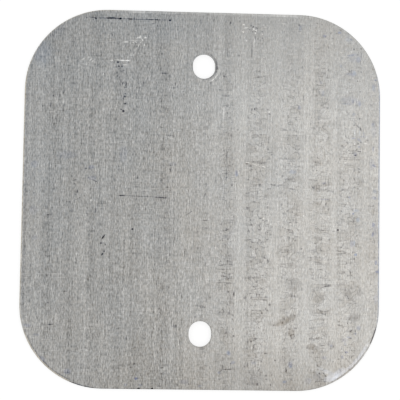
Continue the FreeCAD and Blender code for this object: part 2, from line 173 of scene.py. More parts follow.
# Marks on the front face. Each group: its form, its tone, the share of its radius over which it fades,
# how ragged it is in millimetres, and its places.
# Each place: x, y, half its length, half its width, strength in percent and, where its length isn't along x,
# the degrees that it is turned from there.
MARKS = {
    "dark_scratches": ("spot", GREY, 0.6, 0.1, (
        (-22, 51.15, 13.5, 0.22, 55), (-33.7, 51.2, 0.2, 0.35, 50), (-31.2, 51.1, 0.45, 0.3, 72, -40),
        (-26.8, 51.35, 1.9, 0.24, 68, 2), (-24.1, 51.25, 0.55, 0.42, 95, 10), (-21.2, 51.15, 0.8, 0.24, 72),
        (-15.4, 51.1, 1, 0.2, 55), (-13.8, 51.15, 0.6, 0.24, 72), (-10, 51.1, 0.55, 0.35, 82),
        (-14.7, 50, 0.7, 0.2, 44), (-7.2, 53, 2.4, 0.2, 31, 4), (-24.55, 38.6, 0.42, 0.38, 95),
        (-24.3, 37.5, 0.45, 0.3, 61), (-23.4, 37.4, 0.3, 0.28, 55), (-24.8, 37.25, 1.5, 0.2, 38, 2),
        (-24.2, 36.7, 1, 0.2, 35), (-23, 36.2, 0.55, 0.28, 61, 30), (-28.3, 38.9, 0.35, 0.5, 33),
        (-17.2, 48.4, 0.4, 0.25, 44, 30), (-26.3, 46.4, 0.25, 0.4, 44), (-26.6, 49.9, 0.3, 0.25, 38),
        (-11.5, 35.8, 1.2, 0.28, 30), (-22.75, 24.6, 0.48, 0.45, 95), (-8.5, 31.6, 0.6, 0.4, 40, 40),
        (4.6, 31.4, 0.35, 0.35, 55), (5.7, 35.4, 0.2, 0.4, 61), (2, 33.2, 0.2, 0.9, 46),
        (6.6, 42.4, 0.18, 1.8, 46), (7.4, 50.8, 0.28, 0.5, 55), (2.6, 51.5, 0.3, 0.5, 38),
        (9.9, 52.3, 0.25, 0.3, 50), (10.1, 51.3, 0.25, 0.35, 50), (6, 51, 0.22, 0.3, 44),
        (10, 41.4, 0.3, 0.4, 44), (13.9, 49.8, 0.4, 0.25, 77, 45), (13.8, 48.4, 0.28, 0.22, 72),
        (14.5, 48.5, 0.25, 0.2, 61), (14.9, 49.5, 0.55, 0.2, 55, -40), (13.3, 50.1, 0.3, 0.25, 61),
        (12.9, 49, 0.35, 0.2, 44, 30), (14.5, 46.8, 0.22, 0.9, 50), (16.5, 48.5, 0.28, 0.22, 61),
        (16.6, 46.6, 0.3, 0.3, 46), (15.3, 46.5, 0.2, 0.6, 46), (7.7, 24.8, 0.3, 0.3, 36),
        (5.7, 35.3, 0.4, 0.4, 36), (13.65, 42.2, 1.7, 0.2, 61, 90), (-17, 0.45, 9, 0.18, 39, -1.5),
        (-22.8, 0.55, 1, 0.25, 79), (-11.5, 0.15, 2.8, 0.28, 51, -2), (-35.3, 1.6, 0.8, 0.25, 64, 90),
        (-35.7, 0.6, 0.4, 0.25, 44, 90), (-36, 4.7, 0.9, 0.2, 40, 15), (-33, 8, 0.4, 0.35, 60),
        (-30.5, 4.6, 1.4, 0.2, 60, -22), (-32.3, 5.4, 0.5, 0.3, 40, 60), (-35.2, -0.6, 1.8, 0.18, 36, 28),
        (-30, -3.9, 0.8, 0.25, 56, 90), (-32.4, -3.2, 0.35, 0.3, 40), (-32.6, -4.6, 0.4, 0.25, 32),
        (-35.1, -6, 0.4, 0.3, 40), (-43.3, -5.3, 1.8, 0.25, 32), (-27.7, -11.2, 1.3, 0.26, 85, 55),
        (-28.3, -13, 0.4, 0.3, 79), (-27.1, -13.4, 0.3, 0.3, 44), (-27.9, -16.1, 0.6, 0.26, 85, 60),
        (-27.4, -15.3, 0.4, 0.2, 50), (-19.6, -8.9, 0.42, 0.35, 95), (-18.4, 5.6, 0.9, 0.2, 40, 3),
        (-19.4, 6.3, 0.3, 0.3, 40), (-8.6, 17.9, 1.3, 0.25, 16, -10), (-11, 11.2, 1, 0.2, 32, 10),
        (-9.1, 8.2, 0.9, 0.25, 50, 90), (-7.8, 8.3, 0.7, 0.22, 40, 90), (0.8, 1.2, 0.9, 0.25, 36, 75),
        (1.1, 4.2, 0.6, 0.3, 40, 90), (-3.5, -4, 1.7, 0.2, 44, 34), (0.8, -6.1, 1, 0.2, 48),
        (9.4, -26.6, 1.1, 0.3, 42, 88), (7.2, -23.6, 2.9, 0.18, 40, -3), (6.6, -21.8, 0.9, 0.25, 40, -10),
        (0.6, -30.5, 1.2, 0.5, 28, 10), (12.6, -27.7, 0.55, 0.5, 44), (14.4, -27.5, 0.6, 0.25, 40, 90),
        (15.8, -26.8, 0.8, 0.22, 44, 90), (16.7, -27, 0.7, 0.22, 40, 90), (18.5, -27.4, 0.45, 0.4, 44),
        (18, -28.3, 1.1, 0.22, 44, -5), (15.4, -24.6, 0.9, 0.3, 40, 12), (19.6, -29.6, 0.5, 0.4, 59, 60),
        (7.2, -8.6, 0.8, 0.3, 44, 12), (1.2, -18.3, 1, 0.25, 36, 90), (1.3, -8.2, 0.6, 0.4, 32),
        (6.8, 13, 2.2, 0.25, 30, 90), (6.8, 7, 2.6, 0.25, 30, 90), (8.4, 7.4, 2.2, 0.2, 23, 90),
        (-42, -36, 1.3, 0.25, 56, 5), (-42.8, -30, 0.4, 0.3, 44), (-38, -26.7, 0.7, 0.25, 40),
        (-7.2, -36, 0.7, 0.6, 40), (-11.7, -38.5, 3, 0.25, 25, 88), (-11.8, -43.5, 2.2, 0.3, 13, 90),
        (-8.8, -32.3, 0.45, 0.4, 20), (-1.4, -33.3, 0.5, 0.35, 40, 70), (0.6, -42.3, 1.2, 0.2, 32),
        (-10.2, -49.3, 1.6, 0.4, 22, -3), (-10, -47, 1.8, 0.2, 17), (-11.3, -52.8, 0.8, 0.25, 30),
        (-3, -52.1, 0.35, 0.3, 52), (-6.2, -52.4, 0.3, 0.4, 40), (7.6, -47.9, 1.6, 0.2, 40),
        (6.4, -47.2, 0.7, 0.25, 40, 80), (7.4, -37.6, 0.8, 0.5, 36), (-22.9, -53.5, 0.6, 0.25, 37),
        (-17, -53.5, 0.5, 0.3, 95), (-13.2, -53.5, 0.4, 0.3, 95), (6.8, 24.8, 0.35, 0.35, 45),
        (-23, 32.6, 0.5, 0.55, 47), (-22.15, 32.5, 0.25, 1, 54), (-22.2, 31.4, 0.7, 0.25, 40),
        (-22.4, 29.65, 0.32, 0.25, 58), (-22.4, 28.8, 0.6, 0.35, 61), (-22.9, 28.3, 0.25, 0.5, 58),
        (-22.4, 26.75, 0.5, 0.25, 65, 10), (-23.5, 25.1, 0.6, 0.22, 68, -15), (-23.7, 36.1, 0.2, 0.2, 43),
        (-24.8, 35.5, 0.25, 0.35, 47), (-24.7, 34.6, 0.3, 0.25, 43), (-23.9, 34.4, 0.22, 0.45, 47),
        (-23.8, 33.3, 0.2, 0.5, 36), (-18.8, 33, 0.2, 0.7, 43), (-17.3, 32.5, 0.22, 1.2, 50),
        (-19.2, 31.4, 0.25, 0.25, 47), (-18.3, 31.4, 0.25, 0.25, 43), (-19.1, 29.2, 0.15, 1.2, 40),
        (-17.5, 28.8, 0.35, 0.25, 36, -30), (-14.4, 30, 0.3, 0.4, 36), (-12.2, 24.8, 0.3, 0.5, 40),
        (-14.2, 24.5, 0.2, 0.6, 36), (-36.1, 3.6, 0.3, 0.3, 43), (-36.7, -3.8, 0.2, 0.7, 43),
        (-37.7, -1.5, 1.2, 0.15, 40), (-43.4, -5.3, 0.3, 0.25, 54), (-42.7, 28.6, 0.3, 0.3, 43),
        (-43.3, 26, 0.3, 1.2, 36), (-45.6, 25.5, 0.2, 0.4, 36), (-36.4, 20.9, 0.3, 0.3, 43),
        (-47.4, 0.9, 0.5, 0.2, 36), (-23.3, -26.8, 0.2, 1, 27), (-23.3, -30, 0.3, 0.25, 27),
        (-22.5, -30, 0.4, 0.2, 31), (-27.6, -32.3, 0.3, 0.3, 27), (-28.1, -36.3, 0.2, 0.4, 31),
        (-28.1, -38.3, 0.25, 0.3, 27), (-25.6, -37.5, 0.8, 0.2, 22), (-25.1, -44.9, 0.3, 0.35, 29),
        (-24.2, -45.7, 0.25, 0.35, 29), (-19.5, -33, 0.8, 0.4, 20), (-19.8, -29, 0.3, 0.3, 25),
        (-13, -36.9, 0.2, 0.4, 27), (-15.8, -39.6, 0.25, 0.25, 31), (-13.7, -43.8, 0.2, 0.4, 27),
        (-10.6, -43.2, 0.25, 0.3, 27), (-11.7, -31, 0.3, 0.8, 33), (-12, -46.6, 0.6, 0.3, 21),
        (-14.1, -48, 0.2, 0.3, 31), (-10.3, -47.6, 0.3, 0.25, 27), (-10.8, -50.9, 1.2, 0.2, 22, -20),
        (-18.9, -50, 0.6, 0.2, 20), (-19.1, -51.5, 0.5, 0.25, 31, -50), (-16.3, -50, 0.6, 0.2, 27, -45),
        (-18.3, -46.7, 0.4, 0.3, 22), (-19.2, -47.6, 1, 0.2, 22), (-12.6, 51.1, 2.6, 0.2, 38),
        (-27.6, 51.3, 4, 0.2, 44), (-31.9, 51.3, 1.5, 0.2, 44, -8), (-10.8, 35.8, 1.7, 0.2, 22),
        (-8.2, 32.9, 0.3, 0.6, 40), (-7.4, 31.9, 0.25, 0.7, 40), (-1.1, 50.9, 0.2, 1.2, 40),
        (13.6, 44.5, 0.18, 2, 32), (4.75, 36.2, 1.3, 0.2, 25, 70), (3.6, 34.2, 1.2, 0.2, 25, 48),
        (-9.3, 17.9, 2.11, 0.18, 26, -11), (14.5, 10.8, 0.9, 0.25, 34, 1), (16.5, 10.6, 1.32, 0.4, 30, -1),
        (12.5, 10.3, 0.63, 0.25, 28, 1), (13.9, 9.6, 0.52, 0.25, 22, -58), (18.8, 11.8, 0.67, 0.2, 38, 1),
        (19.5, 13.7, 0.84, 0.2, 26, 15), (19.8, 13.1, 0.4, 0.25, 18, 74), (20.3, 4.4, 0.97, 0.25, 42, -6),
        (22.1, 4.4, 1.06, 0.25, 36, 6), (22.8, 7, 0.43, 0.3, 22, -82), (21.2, 7.6, 0.6, 0.25, 26, -44),
        (25.5, 3.4, 1.15, 0.25, 34, -11), (19.1, 3.3, 1.03, 0.2, 32, -1), (24.7, 10.6, 0.49, 0.2, 40, -3),
    )),
    "stain_specks": ("spot", GREY, 0.7, 0.1, (
        (31.6, 3.9, 0.3, 0.25, 39), (32.8, 3.7, 0.3, 0.3, 39), (33.4, 4.5, 0.7, 0.2, 31, -10),
        (32.8, 0.55, 1.2, 0.2, 24), (35.4, -0.9, 0.4, 0.9, 31), (36.4, 0.4, 0.5, 0.25, 31, -30),
        (40, 3.4, 0.4, 0.3, 34), (37.3, 2.8, 0.6, 0.22, 28), (36.2, 3.1, 0.5, 0.4, 20),
        (44.6, 3.8, 0.32, 0.28, 56), (48.9, -1, 0.6, 0.3, 26), (42.4, 2.4, 0.7, 0.2, 26, -20),
        (41.5, 1.4, 0.6, 0.25, 26, -30), (32.6, -3.2, 1, 0.25, 26, -20), (32.1, -4.1, 0.4, 0.22, 34, 20),
        (36.5, -6, 0.6, 0.25, 26), (32.8, -7.8, 0.8, 0.25, 31), (35.6, -7.6, 1.2, 0.22, 31, 8),
        (37.7, -8.5, 0.5, 0.28, 39), (38.85, -8.1, 0.42, 0.4, 95), (40.2, -5.1, 0.6, 0.3, 34, 10),
        (42.7, -8.4, 0.4, 0.3, 31), (36.4, -10.9, 0.35, 0.7, 33), (32.2, -10.2, 0.8, 0.4, 22),
        (40.3, -12.3, 0.3, 1, 26, -30), (39.8, -13.1, 0.35, 0.25, 44), (39.3, -14.1, 0.7, 0.22, 34),
        (41.7, -13.2, 0.5, 0.22, 33), (42, -14.8, 0.5, 0.22, 33), (43.2, -14.4, 0.25, 0.4, 31),
        (44.2, -15.7, 0.9, 0.16, 34), (34, -14, 0.9, 0.25, 28), (33.8, -15.9, 0.28, 0.22, 48),
        (33, -17.3, 1.4, 0.2, 28), (31.2, -19.3, 0.6, 0.4, 34), (36.2, -16.6, 0.3, 0.6, 26),
        (42.6, -17.4, 0.8, 0.22, 33), (28.5, -13.6, 0.35, 0.35, 39), (13.8, -5.7, 0.3, 0.5, 52),
        (14, -7.1, 0.8, 0.3, 34), (16.5, -5.2, 0.4, 0.25, 39, 20), (17.4, -5.7, 0.4, 0.3, 52),
        (18.4, -5.8, 0.5, 0.3, 34), (15.2, -6.6, 0.3, 0.3, 31, 45), (16.8, -6.6, 0.25, 0.5, 31),
        (18.7, -6.9, 0.6, 0.3, 39, 15), (20, -7.6, 0.25, 0.3, 44), (19.2, -8.6, 0.9, 0.22, 39),
        (18.8, -9.1, 0.4, 0.25, 44, 20), (13.5, -9, 0.3, 0.5, 39), (19.5, -9.9, 0.5, 0.22, 34, 15),
        (18.8, -11.1, 0.7, 0.3, 52, 30), (13.7, -11.2, 0.6, 0.3, 48), (14.3, -11.9, 0.3, 0.3, 44),
        (14.1, -13.3, 0.3, 0.3, 52), (15.9, -13.7, 0.3, 0.25, 44), (17.8, -13.5, 0.5, 0.2, 31, 15),
        (16.8, -12.5, 0.3, 0.3, 31), (14.6, -16.3, 1.4, 0.2, 39), (16.7, -17, 0.22, 0.6, 44),
        (18, -16.3, 0.25, 0.5, 52, 20), (18.9, -17.2, 0.28, 0.8, 52, 15), (14.2, -17.3, 0.4, 0.3, 31),
        (20.4, -19, 0.25, 0.5, 31), (18.9, -19.4, 0.6, 0.25, 31, 40), (18.7, -20, 0.3, 0.2, 44),
        (14.6, -19.5, 0.4, 0.3, 31), (25.8, -3.2, 0.35, 0.3, 52), (23.1, -3.7, 0.4, 0.35, 31),
        (26.4, -4.2, 0.9, 0.22, 24), (24.7, -8.4, 0.35, 0.3, 33), (25, -10.6, 1.8, 0.18, 33),
        (26.6, -11.3, 0.3, 0.3, 44), (25.6, -12.3, 1.2, 0.2, 26), (24.6, -14.6, 0.3, 0.7, 26, 25),
        (26.5, -14.6, 0.4, 0.6, 28), (25.6, -18.3, 0.7, 0.5, 22), (32.3, -48.4, 0.5, 0.28, 37),
        (33.9, -48.7, 0.35, 0.28, 40), (35.1, -48.7, 0.7, 0.22, 52, -35), (35.7, -49.4, 0.4, 0.22, 52, -45),
        (34.7, -50.4, 0.5, 0.25, 26), (35.6, -50.9, 0.6, 0.3, 34), (44.1, -36.7, 0.22, 0.6, 44),
        (42.5, -38.8, 0.6, 0.22, 28), (42.6, -40.5, 0.8, 0.22, 28, 8), (40.1, -41.8, 0.25, 0.3, 37),
        (39.4, -44.6, 0.6, 0.18, 33), (41.5, -44.5, 0.35, 0.25, 44), (33.2, -44.2, 1.2, 0.16, 26),
        (37.8, -45.3, 0.22, 0.32, 56), (34.8, -42.4, 1.8, 0.17, 33), (34.6, -40.9, 1.2, 0.17, 32),
        (30.3, -41.6, 0.3, 0.3, 33), (32, -42.8, 0.5, 0.28, 33, -40), (36.5, -40.5, 0.3, 0.6, 32),
        (37.9, -41.1, 0.3, 0.5, 40), (37.2, -41.8, 0.7, 0.22, 26), (31.1, -39, 0.5, 0.25, 32),
        (35.7, -37.7, 0.4, 0.25, 37, -40), (31, -37.6, 1.1, 0.17, 26, 15), (39.3, -35, 0.6, 0.22, 44),
        (39.3, -34.1, 0.4, 0.3, 44), (41.8, -34.6, 0.22, 0.5, 32), (42, -36.7, 1.5, 0.2, 32),
        (39.8, -47.7, 1, 0.28, 34, -57), (41.2, -46.8, 0.5, 0.28, 24, -45), (41.2, 25.8, 0.8, 0.25, 28, -25),
        (41.7, 25.3, 0.3, 0.5, 33), (44.9, 24, 0.3, 0.35, 52), (33, 24.2, 0.6, 0.6, 21),
        (33.2, 23.6, 0.5, 0.3, 29), (32, 20.8, 0.5, 0.3, 28), (33.5, 21.2, 0.3, 0.3, 32),
        (32.6, 19.6, 0.6, 0.6, 15), (35.85, 18.2, 0.22, 0.6, 37), (39.9, 16.1, 0.3, 0.35, 49),
        (40.9, 21.2, 0.3, 0.4, 28), (45.2, 20.9, 0.32, 0.8, 65, 10), (44.4, 21.7, 0.8, 0.26, 46, -40),
        (43.4, 22.1, 0.9, 0.2, 33, 5), (47.2, 17.8, 0.6, 0.3, 37), (45.3, 17.2, 0.4, 0.3, 46),
        (44.5, 16.7, 0.4, 0.25, 65), (44.8, 14.5, 0.8, 0.26, 65), (43, 14, 0.3, 0.3, 40),
        (43.8, 13.4, 0.3, 0.4, 40), (44.8, 9.5, 0.5, 0.3, 61, -20), (44.9, 8.6, 0.45, 0.3, 52),
        (43.5, 9, 0.4, 0.5, 24), (40.5, 6.2, 0.5, 0.3, 26), (43.4, 6.6, 0.35, 0.5, 29),
        (44.6, 5, 0.32, 0.26, 49), (32.6, 8.8, 0.35, 0.25, 40), (34, 8.5, 0.5, 0.28, 34, -30),
        (33.6, 7.6, 0.7, 0.2, 24, -30), (35.3, 11.6, 1, 0.2, 24), (49.6, 20, 0.3, 0.4, 28),
        (48.3, 11.4, 0.3, 0.4, 38), (27.6, 25.2, 0.2, 0.8, 37), (28.6, 29.6, 0.26, 0.9, 38),
        (27.2, 50.7, 0.4, 0.5, 52), (27.4, 48.8, 0.6, 0.2, 44), (32.4, 51.3, 0.35, 0.3, 40),
        (33.8, 51, 0.3, 0.3, 40), (32, 50, 0.26, 0.4, 32), (32.6, 48, 0.5, 0.25, 37),
        (35.9, 46.9, 0.4, 0.25, 44), (37, 47, 0.28, 0.28, 61), (36.4, 48.5, 0.26, 0.3, 38),
        (39.2, 49.5, 0.8, 0.22, 32, -35), (38, 48.6, 0.4, 0.4, 28), (31.9, 46.2, 0.4, 0.22, 44),
        (34.4, 45.1, 0.35, 0.25, 34), (32.5, 43.9, 1.3, 0.3, 21), (31.9, 42.4, 0.26, 0.4, 32),
        (35.7, 44.4, 0.2, 0.6, 52), (43.1, 44.1, 0.3, 0.4, 70), (45.2, 44.3, 0.4, 0.3, 44),
        (45.2, 42.4, 0.18, 1.5, 49), (45, 40.3, 0.2, 1, 37), (41.2, 41.5, 0.8, 0.2, 34, 10),
        (44.3, 42.5, 0.5, 0.2, 41), (40.6, 40, 0.28, 0.25, 56), (44.4, 38.8, 0.4, 0.4, 24),
        (45.2, 37.5, 0.3, 0.25, 40), (44.2, 34.9, 0.3, 0.26, 56), (34.4, 37, 1.1, 0.17, 32),
        (33.3, 35.9, 1.1, 0.17, 32), (32.2, 34.6, 0.3, 0.4, 44), (32.6, 33.5, 0.3, 0.3, 41),
        (33.8, 33.4, 0.8, 0.18, 29), (31.4, 31.4, 0.2, 0.6, 34), (32.4, 31.6, 0.25, 0.9, 34),
        (33.2, 31.3, 0.2, 0.9, 37, 20), (32.5, 30.5, 0.5, 0.3, 29), (32.9, 39.1, 0.2, 0.4, 44),
        (33.3, 39.1, 0.2, 0.4, 34), (35.7, 37.9, 0.25, 0.5, 41), (45, 31.8, 0.3, 0.4, 34),
        (28.4, 40.5, 0.3, 0.6, 32), (28.2, 38.4, 0.4, 0.6, 26), (27.3, 35.5, 0.4, 0.6, 26),
        (20.8, -35.3, 0.4, 0.3, 39, 40), (23.3, -34.7, 0.5, 0.25, 34), (26.8, -32.5, 0.5, 0.3, 34),
        (27.2, -33.3, 0.2, 0.6, 39), (26, -34, 0.9, 0.2, 34, 15), (26.9, -36.1, 0.6, 0.3, 43),
        (25.1, -36.2, 0.3, 0.3, 34), (25.6, -38.2, 0.25, 0.4, 39), (26.4, -37, 0.25, 0.3, 39),
        (13.5, -40, 0.25, 1.6, 48), (13.5, -46.7, 0.22, 0.8, 45), (12.6, -47.1, 0.25, 0.4, 34),
        (14.4, -40, 0.3, 0.9, 30), (15.2, -38.3, 0.3, 0.7, 30), (15.2, -41.8, 0.5, 1.3, 22),
        (18.6, -43.3, 0.6, 0.3, 56), (16, -44.4, 0.6, 0.4, 34), (17.4, -45.6, 0.3, 0.4, 39),
        (21.3, -45.2, 0.35, 0.35, 71), (24.9, -42.3, 0.25, 0.25, 43), (26.5, -45, 0.28, 0.22, 52),
        (24.4, -47.8, 0.2, 1.2, 47), (17.2, -48.8, 0.25, 1.1, 30), (13.6, -51.9, 0.3, 0.25, 43),
        (16.3, -51.8, 0.3, 0.4, 34), (18.8, -49.5, 0.5, 0.4, 43, 30), (18.8, -50.5, 0.5, 0.25, 43),
        (20.5, -49.3, 0.3, 0.4, 34), (20.1, -52.1, 0.3, 0.4, 47), (9.1, -32.6, 0.4, 0.5, 43),
        (9.1, -33.8, 0.25, 0.3, 47), (9.3, -36.6, 0.3, 0.25, 52), (9.5, -38.5, 0.35, 0.3, 69),
        (9.2, -39.6, 0.5, 0.3, 34), (12.4, -31, 0.25, 0.4, 47), (18.4, -30.8, 0.3, 0.5, 47),
        (18.9, -31.2, 0.5, 0.3, 43), (17, -31.4, 0.7, 0.2, 43, -50), (17.4, -32, 0.4, 0.25, 60),
        (14.6, -32.3, 0.3, 0.4, 39), (18.3, -32.8, 0.4, 0.25, 34), (16.2, -35, 0.35, 0.3, 43),
        (8.7, -46.3, 0.3, 0.3, 43), (8.7, -47.8, 0.7, 0.2, 43), (13, 10.3, 1, 0.22, 20, -5),
        (13.7, 9.7, 0.5, 0.5, 24, -50), (14.2, 10.95, 0.5, 0.2, 22), (15.6, 10.7, 0.8, 0.22, 22, -8),
        (17.4, 10.6, 0.3, 0.45, 28), (14, 8.5, 0.2, 0.9, 34), (10.6, 8.3, 0.3, 0.4, 36),
        (11.3, 6.9, 0.4, 0.2, 39, 30), (9.3, 5.1, 0.5, 0.3, 34, 20), (8.5, 4.5, 0.25, 1.5, 34),
        (13, 5.8, 0.35, 0.3, 40), (12.6, 1.9, 0.5, 0.25, 40), (19.6, 4.6, 0.4, 0.3, 34),
        (20.7, 4.5, 0.3, 0.3, 34), (21.5, 4.1, 0.7, 0.2, 43), (22.9, 7, 0.45, 0.45, 22),
        (24.9, 6.2, 1.2, 0.6, 22), (18.6, 14.7, 0.4, 0.4, 52, -20), (18.7, 13.6, 0.5, 0.2, 43, 20),
        (19.7, 13.1, 0.3, 0.25, 43, 30), (17.2, 15.7, 0.3, 0.25, 39), (18.8, 17.2, 0.17, 1.3, 52),
        (19.7, 22.3, 0.2, 0.5, 34), (18.9, 24.7, 0.6, 0.3, 60), (18.4, 26, 0.4, 0.4, 52),
        (13.8, 25.8, 0.3, 0.5, 56), (14.6, 26.1, 0.2, 0.4, 56), (15.3, 26.1, 0.2, 0.4, 47),
        (12.9, 23.5, 0.4, 0.4, 39), (21.6, 29.2, 0.3, 0.4, 43), (22.7, 29, 0.3, 0.5, 34),
        (24.2, 24.3, 0.3, 0.25, 39), (26.8, 27.5, 0.35, 0.25, 43), (26.8, 18.6, 0.25, 0.4, 56),
        (9.9, 20, 0.4, 0.4, 39), (8.2, 18, 0.25, 1.3, 39), (8.5, 10, 0.3, 0.3, 39),
    )),
    "bright_scratches": ("spot", PALE, 0.6, 0.1, (
        (-22.8, 39.15, 2, 0.26, 95), (-21.8, 39.15, 0.7, 0.32, 82), (-23.4, 39.2, 0.6, 0.3, 55),
        (-26.4, 39.1, 0.6, 0.3, 68), (-22.5, 37.9, 1, 0.22, 82, 3), (-22.4, 44.5, 1.1, 0.24, 82),
        (-20.9, 41, 0.6, 0.7, 32), (-21.8, 40.1, 0.2, 0.5, 55), (-21.1, 45.8, 0.2, 0.6, 68),
        (-19.1, 45.8, 0.8, 0.22, 68, 25), (-18.4, 46.1, 0.2, 0.7, 82), (-17.8, 45.2, 0.28, 0.38, 95, 20),
        (-16.9, 45.9, 0.5, 0.25, 82, 10), (-19.7, 44.6, 0.6, 0.2, 68, -35), (-18.8, 43.6, 0.2, 0.7, 76, -15),
        (-17.2, 43.8, 0.22, 0.5, 95), (-18.2, 44.5, 0.5, 0.2, 68, 60), (-20.4, 44.4, 0.4, 0.2, 55),
        (-19.3, 42.8, 0.6, 0.2, 46, 50), (-32.9, 39.9, 0.22, 0.22, 95), (-32.3, 39.2, 0.7, 0.18, 68, 40),
        (-31.8, 38.7, 0.7, 0.18, 57, 40), (-34.5, 39.3, 0.7, 0.22, 55, 20), (-28.7, 35.1, 0.3, 0.25, 55),
        (11.2, 50.4, 0.32, 0.24, 95), (11.9, 49.5, 0.9, 0.25, 68, 12), (11.1, 48.3, 0.5, 0.22, 76),
        (14.1, 49.2, 0.3, 0.35, 95), (14.8, 48.8, 0.4, 0.22, 95, -30), (14.6, 48, 0.3, 0.26, 95),
        (12, 45.7, 0.25, 0.3, 48), (16.8, 50.4, 0.25, 0.3, 62), (22.8, 51, 0.8, 0.25, 38),
        (38.2, -8, 0.3, 0.4, 28), (29, -4.2, 0.25, 0.25, 62), (17.6, -5.2, 0.4, 0.3, 34),
        (19, -5.8, 0.2, 0.7, 28), (19.6, -6.8, 0.3, 0.4, 34), (15.4, -10.2, 0.3, 0.2, 34),
        (14.2, 45.4, 2.2, 0.18, 62, 90), (5.8, 24.6, 2.4, 0.2, 55, 90), (-8.8, 17, 1.4, 0.2, 12, -8),
        (-31.4, -0.9, 0.4, 0.3, 77, 70), (-33.2, 1.4, 0.5, 0.2, 40), (-32.8, -23.6, 0.6, 0.3, 40, 60),
        (4, -13.7, 0.6, 0.3, 22, -20), (-31.8, -43, 0.4, 0.3, 48, 70), (-9.4, -15.9, 0.4, 0.3, 48, 60),
        (14.6, -41.8, 0.4, 0.5, 31), (39.4, -8.3, 0.35, 0.3, 31), (-22, -50, 0.5, 0.2, 26, 90),
        (18.9, -5.6, 0.5, 0.25, 18, -50), (43.5, 20, 0.22, 1.2, 33), (44.9, 19.6, 0.22, 1, 29),
        (43.5, 16.7, 0.5, 0.22, 50), (46.6, 16.9, 0.7, 0.2, 33), (40.9, 11.2, 0.4, 0.3, 33),
        (36.8, 45.6, 0.25, 0.5, 44), (42.3, 43.3, 0.4, 0.4, 38), (42.9, 35.6, 0.3, 0.4, 38),
        (41.3, 31.6, 0.4, 0.4, 31), (15.5, 9.9, 1.8, 0.17, 56, -20), (17.6, 9.4, 1, 0.17, 50, -20),
        (13.1, 10.6, 0.8, 0.15, 38, -10), (18.8, 25.3, 0.4, 0.3, 48), (17.8, 25.2, 0.4, 0.3, 36),
        (-23, 23.95, 0.35, 0.16, 60), (-22.2, 25.4, 0.5, 0.2, 30, -45), (-20.6, 45, 2, 0.16, 42),
        (-18.6, 45.9, 0.8, 0.18, 35, 60), (-17.9, 45.5, 0.8, 0.18, 35, -60), (-24.9, 39.3, 1, 0.2, 60),
        (-19.9, 41.2, 1.4, 0.18, 30, 50), (16.6, 47.7, 0.25, 0.25, 50), (17.4, 49.8, 0.35, 0.2, 40),
        (15.2, 46.7, 0.25, 0.3, 50), (4.15, 36.7, 0.9, 0.22, 42, 78), (3.5, 35.2, 1, 0.22, 50, 55),
        (2.4, 34.1, 1, 0.22, 50, 32), (-9.4, 17.3, 1.85, 0.2, 28, -14), (12.6, 10.7, 0.88, 0.25, 24, -7),
        (16.6, 9.9, 2.07, 0.22, 30, -16),
    )),
    "grey_stains": ("spot", GREY, 0.35, 0.7, (
        (25.5, 50, 1.5, 1.4, 9), (28.2, 50.2, 0.9, 1.2, 7), (27.5, 43, 1.2, 1, 8), (-18.5, 42.3, 1, 1.3, 10),
        (-23.2, 33, 1.8, 7, 7), (26, -24, 1.8, 2.4, 14, 15), (28.3, -24.2, 1.2, 1.7, 8),
        (8, -16.8, 2.2, 1.2, 11), (7, -10.5, 1.3, 0.9, 15), (9.2, -6, 1, 1, 10), (15.9, -50.2, 2.6, 2.4, 8),
        (33.6, -49.8, 2.6, 1.8, 3), (33.9, 36.5, 2.2, 0.9, 10), (34.5, 31, 2.2, 0.8, 9),
        (33.9, 44.5, 1.4, 0.8, 8), (-37.8, -2.4, 1.6, 0.9, 7), (-31, -15, 1.4, 1.6, 8),
        (-31.5, 8.4, 1.2, 0.8, 14), (45, 6, 1.4, 1.4, 10), (42, -26.5, 1.3, 1.8, 14),
        (45.2, -25.5, 0.8, 1.7, 14), (43.5, -33, 2, 1.4, 14), (33, -39, 2.4, 0.5, 14, 3),
        (37, -40.6, 1.3, 1.8, 14, 20), (40, 29, 1.3, 1, 9), (15, -49, 1.1, 1.2, 10), (15, -50.8, 1.3, 1.4, 9),
        (25.6, 6, 1.4, 0.7, 11),
    )),
    "brown_stains": ("spot", BROWN, 0.35, 0.7, (
        (24, -34, 4.4, 1.2, 16, 22), (25.8, -37.3, 1.1, 1.5, 20), (14.8, -40.8, 1.6, 3.6, 10),
        (32.8, -11, 1.7, 1.2, 8), (32.6, -0.8, 1.6, 0.9, 6), (32.8, 1.6, 1.3, 0.8, 5),
        (31.4, -41.2, 1.5, 1, 18), (33, -38.8, 1.4, 0.45, 10), (33, -16.8, 1.3, 0.5, 15),
        (48.8, -3, 0.6, 1.5, 9), (25, -17, 2.6, 0.9, 3), (37.2, -11.3, 1.2, 1, 7), (32, -42, 1.8, 1.5, 10),
        (33, -0.8, 1.6, 1.3, 5), (36, 0.2, 1.2, 1, 8), (33, 4.4, 1.4, 1.2, 8), (35.8, 5, 1.8, 0.6, 8),
        (33.5, -27.5, 2.6, 1.3, 10, 25), (34.5, -31.2, 3.8, 0.9, 8, 12), (34, -33.5, 3.2, 0.5, 8, 8),
        (-2.5, -13, 2.6, 7, 3), (45, 5.2, 1.2, 1.2, 6), (-17.4, -40, 1.4, 3, 3), (19.2, -45, 1.2, 2.4, 3),
        (37, 27.2, 0.9, 3, 3), (39, 26.6, 0.9, 0.3, 9, 60), (32.5, 22.3, 1.1, 0.9, 5),
        (32.6, 15, 1.1, 1.2, 6), (35.1, 13.6, 0.3, 0.6, 9), (41.8, 15.5, 0.9, 0.9, 3),
        (45.8, 15.6, 1.8, 0.8, 5), (44.5, 11.2, 1, 1.4, 4), (42.8, 10.2, 2.4, 0.6, 4), (41.2, 9.2, 1, 0.9, 6),
        (41.5, 6.4, 2, 1, 4), (49.6, 22.5, 0.25, 0.9, 14), (41.2, 45, 0.5, 0.3, 15, -35),
